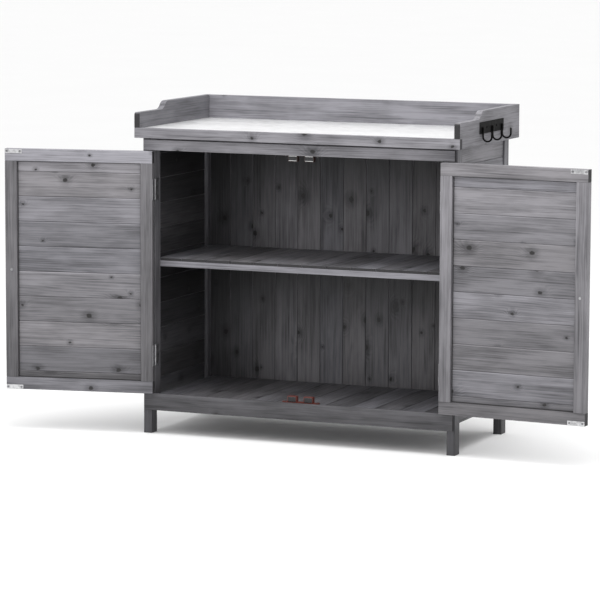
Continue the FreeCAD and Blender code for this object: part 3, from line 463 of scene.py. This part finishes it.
def galvanised_sheet():
    """Dull zinc with a faint spangle and rolling marks."""
    material, t, shader = new_material("galvanised_sheet")
    place = t.place()
    spangle = t.add("ShaderNodeTexVoronoi")
    crystal, crystal_shine, _ = t.split_colour(
        t.feed_named(spangle, {"Vector": place, "Scale": 70.0})["Color"])
    rolled = t.noise(t.stretched(place, 3.0, 160.0), detail=2.0)
    cloud = t.noise(place, 6.0, 3.0)
    tone = t.plus(t.times(crystal, 0.35), t.times(cloud, 0.65))
    t.feed(shader.inputs["Base Color"], t.mix(tone, grey(0.68, 0.685), grey(0.84, 0.85)))
    shader.inputs["Metallic"].default_value = 1.0
    rough = t.ramp(t.plus(rolled, t.times(crystal_shine, 0.3)), 0.3, 1.0, 0.42, 0.6)
    t.feed(shader.inputs["Roughness"], rough)
    t.feed(shader.inputs["Normal"], t.bump(t.plus(rolled, crystal), 0.15, 0.05 * MM))
    return material


def zinc_plate(name, light, dark, roughness, low_shade=None):
    """Zinc-plated steel: fine scuffs and small dull spots, and painted shade low down where that is
    given.
    """
    material, t, shader = new_material(name)
    place = t.place()
    cloud = t.noise(place, 90.0, 4.0, 0.6)
    scuff = t.noise(t.stretched(place, 60.0, 60.0, 1500.0), detail=2.0)
    colour = t.mix(t.ramp(cloud, 0.3, 0.75), light, dark)
    # Painted shade: darker below 0.3 to 0.6 m, so the lower plates look shaded.
    if low_shade:
        colour = t.shaded(colour, t.ramp(t.split(place)[2], 0.3, 0.6, low_shade, 1.0))
    t.feed(shader.inputs["Base Color"], colour)
    shader.inputs["Metallic"].default_value = 1.0
    t.feed(shader.inputs["Roughness"],
           t.ramp(scuff, 0.25, 0.75, roughness - 0.08, roughness + 0.12))
    t.feed(shader.inputs["Normal"], t.bump(t.plus(cloud, t.times(scuff, 0.4)), 0.2, 0.06 * MM))
    return material


def black_powder_coat():
    """Satin black coat with a fine orange-peel surface."""
    material, t, shader = new_material("black_metal")
    place = t.place()
    cloud = t.noise(place, 45.0, 3.0)
    t.feed(shader.inputs["Base Color"], t.mix(cloud, grey(0.003), grey(0.007)))
    t.feed(shader.inputs["Roughness"], t.ramp(cloud, 0.2, 0.8, 0.48, 0.62))
    shader.inputs["Specular IOR Level"].default_value = 0.05
    t.feed(shader.inputs["Normal"], t.bump(t.noise(place, 900.0, 2.0), 0.25, 0.08 * MM))
    return material


def moulded_brown_plastic(name, dark, light):
    """Moulded plastic, slightly cloudy, with the mould's fine texture."""
    material, t, shader = new_material(name)
    place = t.place()
    cloud = t.noise(place, 120.0, 3.0)
    t.feed(shader.inputs["Base Color"], t.mix(cloud, dark, light))
    t.feed(shader.inputs["Roughness"], t.ramp(cloud, 0.2, 0.8, 0.34, 0.46))
    t.feed(shader.inputs["Normal"], t.bump(t.noise(place, 2600.0, 1.0), 0.2, 0.03 * MM))
    return material


def dull_ferrite():
    """Pressed magnet: dark grey and gritty."""
    material, t, shader = new_material("magnet")
    grit = t.noise(t.place(), 1400.0, 3.0)
    t.feed(shader.inputs["Base Color"], t.mix(grit, grey(0.020, 0.022), grey(0.055, 0.058)))
    t.feed(shader.inputs["Roughness"], t.ramp(grit, 0.2, 0.8, 0.5, 0.75))
    t.feed(shader.inputs["Normal"], t.bump(grit, 0.3, 0.05 * MM))
    return material


# --------------------------------------------------------------------------- which piece has which finish

BOARD_PITCH = 72.5 * MM
SIDE_JOINT = 153 * MM           # height of one joint between the side boards
DOOR_JOINT = 173.9 * MM         # height of one joint between a door's boards
BACK_JOINT = 45 * MM            # one joint of the back boards, right of the middle
CABINET_WIDE, POST_WIDE = 958, 25             # millimetres
SLAT_SIDE_GAP, SLAT_GAP = 4.6, 2.4            # millimetres: beside the outer slats, and between two
SLAT_COUNT = 12
SLAT_PITCH = (CABINET_WIDE - 2 * POST_WIDE - 2 * SLAT_SIDE_GAP + SLAT_GAP) / SLAT_COUNT * MM


def low(node):
    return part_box(node)[0]


def high(node):
    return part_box(node)[1]


def paint(material, *names):
    for name in names:
        slots = nodes[name].data.materials
        slots.clear()
        slots.append(material)


def paint_cabinet():
    middle = (low("fascia_board").x + high("fascia_board").x) / 2
    ceilings = low("frieze_rail").z, low("shelf_front_batten").z
    upright, lengthwise = board_space(Z, X), board_space(X, Z)
    side, slat, flat = board_space(Y, Z), board_space(Y, X), board_space(X, Y)

    def wood(name, way, names, **finish):
        paint(stained_wood(name, way, **finish), *names)

    wood("post_wood", upright,
         ("front_left_post", "front_right_post", "rear_left_post", "rear_right_post"),
         seed=1, knots=0.12, tone=0.86)
    wood("jamb_wood", upright, ("left_door_jamb", "right_door_jamb"), seed=11, knots=0.1, tone=0.6)
    # The back boards' inner face gets painted shade below the frieze and shelf and towards the left
    # corner.
    wood("back_board_wood", upright, ("back_boards",), pitch=BOARD_PITCH, joint=middle + BACK_JOINT,
         seed=2, knots=0.7, tone=0.85, inside=-Y, inside_tone=1.04, under=ceilings,
         corner=low("back_boards").x)
    wood("fascia_wood", lengthwise, ("frieze_rail", "fascia_board"), seed=3, knots=0.4, tone=0.84)
    wood("shelf_edge_wood", lengthwise, ("shelf_front_batten",), seed=16, knots=0.2, tone=1.1)
    wood("hidden_rail_wood", lengthwise,
         ("bottom_front_rail", "head_rail", "rear_top_rail", "rear_bottom_rail",
          "front_floor_bearer", "shelf_rear_batten"), seed=9, knots=0.3, tone=0.75)
    wood("back_tray_wood", lengthwise, ("back_tray_board",), seed=12, knots=0.15, tone=0.94)
    for name, seed, inward, tray_tone in (("left", 4, X, 0.78), ("right", 14, -X, 0.84)):
        # The inner faces of the sides and trays get painted shade.
        wood(name + "_side_wood", side, (name + "_side_boards",), pitch=BOARD_PITCH,
             joint=SIDE_JOINT, seed=seed, knots=0.5, tone=0.9, inside=inward, inside_tone=0.38,
             under=ceilings)
        wood(name + "_tray_wood", side, (name + "_tray_board",), seed=seed + 1, knots=0.15,
             tone=tray_tone, inside=inward, inside_tone=0.72)
    wood("cleat_wood", side, ("shelf_side_cleats",), seed=10, tone=0.6)
    wood("slat_wood", slat, ("shelf_slats", "floor_slats"), pitch=SLAT_PITCH,
         joint=low("shelf_slats").x - SLAT_GAP / 2 * MM, seed=6, knots=0.4, tone=0.9)
    wood("worktop_board_wood", flat, ("worktop_boards",), pitch=BOARD_PITCH,
         joint=low("worktop_boards").y, seed=7, tone=0.7)
    wood("batten_wood", slat, ("worktop_battens",), seed=8, tone=0.7)


def hinge_of(name):
    """A door's hinge: its place, and how far the door stands open, in radians about +Z."""
    joint = next(item for item in frame["joints"] if item["child"] == name)
    sign = 1 if joint["axis"][2] > 0 else -1
    return Vector(joint["pos_m"]), -sign * math.radians(joint["range_deg"][0])


def reach(name, to_board):
    """How far a node runs along the grain, from and to."""
    places = [(to_board @ corner.co).x for corner in nodes[name].data.vertices]
    return min(places), max(places)


def paint_door(side, seed, stile_shade):
    """A door's panel, rails and stiles, with the grain turned as far as the door is."""
    pivot, turned = hinge_of(side + "_door")
    across = Matrix.Rotation(turned, 3, "Z") @ X
    foot = (pivot.x, pivot.y, 0)
    lengthwise, upright = board_space(across, Z, foot), board_space(Z, across, foot)
    rails = [side + "_door_" + name for name in ("bottom_rail", "top_rail")]
    stiles = [side + "_door_" + name for name in ("hinge_stile", "free_stile")]
    first, last = sorted(reach(name, lengthwise) for name in stiles)
    # The opening sets where the panel gets a painted shade line in the groove round it.
    opening = (first[1], last[0]), (high(rails[0]).z, low(rails[1]).z)
    # The panel boards get a painted highlight on each upper chamfer.
    paint(stained_wood(side + "_door_board_wood", lengthwise, BOARD_PITCH, DOOR_JOINT, seed=seed,
                       knots=0.5, opening=opening, edge_highlight=0.6), side + "_door_panel_boards")
    paint(stained_wood(side + "_door_rail_wood", lengthwise, seed=seed + 1, knots=0.25), *rails)
    # The stiles' tone holds painted shade, set per door.
    paint(stained_wood(side + "_door_stile_wood", upright, seed=seed + 2, knots=0.1,
                       tone=stile_shade), *stiles)


def paint_metal():
    hinge = zinc_plate("zinc_plate", grey(0.42, 0.43), grey(0.20, 0.21), 0.42)
    strike = zinc_plate("corner_plate_zinc", grey(0.66, 0.67), grey(0.34, 0.35), 0.38)
    # The lower pole plates get painted shade; the upper ones stay bright.
    pole = zinc_plate("pole_plate", grey(0.90), grey(0.72, 0.73), 0.25, low_shade=0.12)
    screw = zinc_plate("screw_steel", grey(0.30, 0.31), grey(0.16, 0.17), 0.45)
    black = black_powder_coat()
    paint(galvanised_sheet(), "metal_worktop")
    paint(dull_ferrite(), "catch_magnets")
    paint(moulded_brown_plastic("brown_plastic", (0.085, 0.018, 0.013, 1), (0.17, 0.036, 0.025, 1)),
          "lower_catch_body")
    # Painted shade: the upper catch bodies are painted far darker than the lower ones, as they sit in
    # shade under the frieze.
    paint(moulded_brown_plastic("shaded_brown_plastic", (0.022, 0.012, 0.010, 1),
                                (0.040, 0.020, 0.016, 1)), "upper_catch_body")
    paint(pole, "catch_pole_plates")
    for name in nodes:
        if "strike" in name:
            paint(strike, name)
        elif "leaves" in name or "bolt" in name:
            paint(hinge, name)
        elif name.startswith("hook") or name.endswith("_knob"):
            paint(black, name)
        elif "screws" in name or "pins" in name:
            paint(screw, name)


# --------------------------------------------------------------------------- nails

NAIL_RADIUS = 1.6 * MM
NAIL_TAPER = 0.8                # top of a head over its foot
NAIL_HEIGHT = 1.0 * MM
NAIL_PROUD = 0.25 * MM
NAIL_FACETS = 14
NAILS_APART = 42 * MM           # the two nails across a slat's end
NAIL_ROWS = 2                   # over the front bearer and over the rear one


def make_nail_tree():
    """Rows of flat nail heads, in pairs, on one level face."""
    tree = bpy.data.node_groups.new("Nail Rows", "GeometryNodeTree")
    for name, kind in (("Rows", "Int"), ("Columns", "Int"), ("Row Pitch", "Float"),
                       ("Column Pitch", "Float"), ("Pair Apart", "Float"), ("Head Radius", "Float"),
                       ("Head Height", "Float"), ("Middle", "Vector"), ("Finish", "Material")):
        tree.interface.new_socket(name=name, in_out="INPUT", socket_type="NodeSocket" + kind)
    tree.interface.new_socket(name="Geometry", in_out="OUTPUT", socket_type="NodeSocketGeometry")
    t = Tree(tree)
    given, out = t.add("NodeGroupInput").outputs, t.add("NodeGroupOutput").inputs

    def mesh(kind, **values):
        return t.feed_named(t.add(kind), values)[0]

    def span(count, pitch):
        return t.times(t.minus(given[count], 1.0), given[pitch])

    places = mesh("GeometryNodeMeshGrid", Size_X=span("Columns", "Column Pitch"),
                  Size_Y=span("Rows", "Row Pitch"), Vertices_X=given["Columns"],
                  Vertices_Y=given["Rows"])
    pair = mesh("GeometryNodeMeshLine", Count=2,
                Start_Location=t.combine(t.times(given["Pair Apart"], -0.5)),
                Offset=t.combine(given["Pair Apart"]))
    pairs = mesh("GeometryNodeInstanceOnPoints", Points=places, Instance=pair)
    head = mesh("GeometryNodeMeshCone", Vertices=NAIL_FACETS, Radius_Bottom=given["Head Radius"],
                Radius_Top=t.times(given["Head Radius"], NAIL_TAPER), Depth=given["Head Height"])
    heads = mesh("GeometryNodeInstanceOnPoints", Instance=head,
                 Points=mesh("GeometryNodeRealizeInstances", Geometry=pairs))
    placed = mesh("GeometryNodeTransform", Translation=given["Middle"],
                  Geometry=mesh("GeometryNodeRealizeInstances", Geometry=heads))
    t.feed(out["Geometry"],
           mesh("GeometryNodeSetMaterial", Geometry=placed, Material=given["Finish"]))
    return tree


NAIL_TREE = make_nail_tree()


def nail_rows(name, finish, middle, row_pitch):
    """Nails over one layer of slats: a pair for each slat, in rows from front to rear."""
    holder = bpy.data.objects.new(name + "_maker", bpy.data.meshes.new(name + "_maker"))
    bpy.context.scene.collection.objects.link(holder)
    modifier = holder.modifiers.new("Nail Rows", "NODES")
    modifier.node_group = NAIL_TREE
    values = {"Rows": NAIL_ROWS, "Columns": SLAT_COUNT, "Row Pitch": row_pitch,
              "Column Pitch": SLAT_PITCH, "Pair Apart": NAILS_APART, "Head Radius": NAIL_RADIUS,
              "Head Height": NAIL_HEIGHT, "Middle": middle, "Finish": finish}
    for item in NAIL_TREE.interface.items_tree:
        if item.in_out == "INPUT":
            modifier[item.identifier] = values[item.name]
    bpy.context.view_layer.update()
    evaluated = holder.evaluated_get(bpy.context.evaluated_depsgraph_get())
    mesh = bpy.data.meshes.new_from_object(evaluated)
    bpy.data.objects.remove(holder)
    piece = bpy.data.objects.new(name, mesh)
    bpy.context.scene.collection.objects.link(piece)
    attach(piece, "cabinet")


def build_nails():
    finish = zinc_plate("nail_steel", grey(0.20, 0.21), grey(0.10), 0.5)
    middle = ((low("shelf_slats") + high("shelf_slats")) / 2).x
    sink = NAIL_HEIGHT / 2 - NAIL_PROUD
    for name, node, front, rear in (
            ("shelf_slat_nails", "shelf_slats", "shelf_front_batten", "shelf_rear_batten"),
            ("floor_slat_nails", "floor_slats", "front_floor_bearer", "rear_bottom_rail")):
        first, last = ((low(rail).y + high(rail).y) / 2 for rail in (front, rear))
        nail_rows(name, finish, (middle, (first + last) / 2, high(node).z - sink), last - first)


# --------------------------------------------------------------------------- floor, light and camera

FLOOR_SIZE = 160                # metres, so that it fills the view behind the bench
FLOOR_GREYS = (0.86, 0.88)
WORLD_STRENGTH = 0.9
SUN_STRENGTH = 0.75
SUN_WIDTH = math.radians(60)    # very wide, for soft edges
SUN_LEAN = math.radians(20)
SOFTBOXES = (                   # name, place, what it looks at, width, length, watts
    ("overhead_softbox", (0.3, -0.5, 3.0), (0.0, 0.0, 0.6), 2.6, 1.8, 62),
    ("front_softbox", (-1.6, -3.4, 2.8), (-0.1, 0.0, 0.5), 1.8, 1.6, 20),
)
CAMERA_PLACE = (3.54647, -8.55595, 1.58267)
CAMERA_TURN = math.radians(22.92)             # to the left of +Y
CAMERA_DOWN = math.radians(7.328)
CAMERA_ROLL = math.radians(0.210)
CAMERA_LENS, CAMERA_SENSOR = 195.07, 36.0     # millimetres
CAMERA_FAR = 400


def build_floor():
    material, t, shader = new_material("pale_floor")
    t.feed(shader.inputs["Base Color"],
           t.mix(t.noise(t.place(), 1.5), *(grey(value) for value in FLOOR_GREYS)))
    shader.inputs["Roughness"].default_value = 0.9
    shader.inputs["Specular IOR Level"].default_value = 0.1
    bpy.ops.mesh.primitive_plane_add(size=FLOOR_SIZE)
    floor = bpy.context.object
    floor.name = "studio_floor"
    floor.data.materials.append(material)


def new_lamp(name, kind, power):
    light = bpy.data.lights.new(name, kind)
    light.energy = power
    lamp = bpy.data.objects.new(name, light)
    bpy.context.scene.collection.objects.link(lamp)
    return lamp, light


def build_light():
    world = bpy.data.worlds.new("studio_world")
    bpy.context.scene.world = world
    world.use_nodes = True
    background = world.node_tree.nodes["Background"]
    background.inputs["Color"].default_value = (1.0, 1.0, 1.0, 1)
    background.inputs["Strength"].default_value = WORLD_STRENGTH
    bpy.context.scene.view_settings.view_transform = "Standard"
    for name, place, target, width, length, watts in SOFTBOXES:
        lamp, light = new_lamp(name, "AREA", watts)
        light.shape = "RECTANGLE"
        light.size, light.size_y = width, length
        lamp.location = place
        towards = Vector(target) - Vector(place)
        lamp.rotation_euler = towards.to_track_quat("-Z", "Y").to_euler()
    lamp, light = new_lamp("high_window", "SUN", SUN_STRENGTH)
    light.angle = SUN_WIDTH
    lamp.rotation_euler = (SUN_LEAN, 0, 0)


def build_camera():
    data = bpy.data.cameras.new("camera")
    data.sensor_width, data.lens, data.clip_end = CAMERA_SENSOR, CAMERA_LENS, CAMERA_FAR
    camera = bpy.data.objects.new("camera", data)
    bpy.context.scene.collection.objects.link(camera)
    camera.location = CAMERA_PLACE
    level = Euler((math.pi / 2 - CAMERA_DOWN, 0, CAMERA_TURN), "XYZ").to_matrix()
    camera.rotation_euler = (level @ Matrix.Rotation(CAMERA_ROLL, 3, "Z")).to_euler()
    bpy.context.scene.camera = camera


# --------------------------------------------------------------------------- all together

paint_cabinet()
# The left door's stiles are painted darker than the right's: painted shade, as they get less light.
paint_door("left", 20, 0.72)
paint_door("right", 30, 0.9)
paint_metal()
build_nails()
build_floor()
build_light()
build_camera()
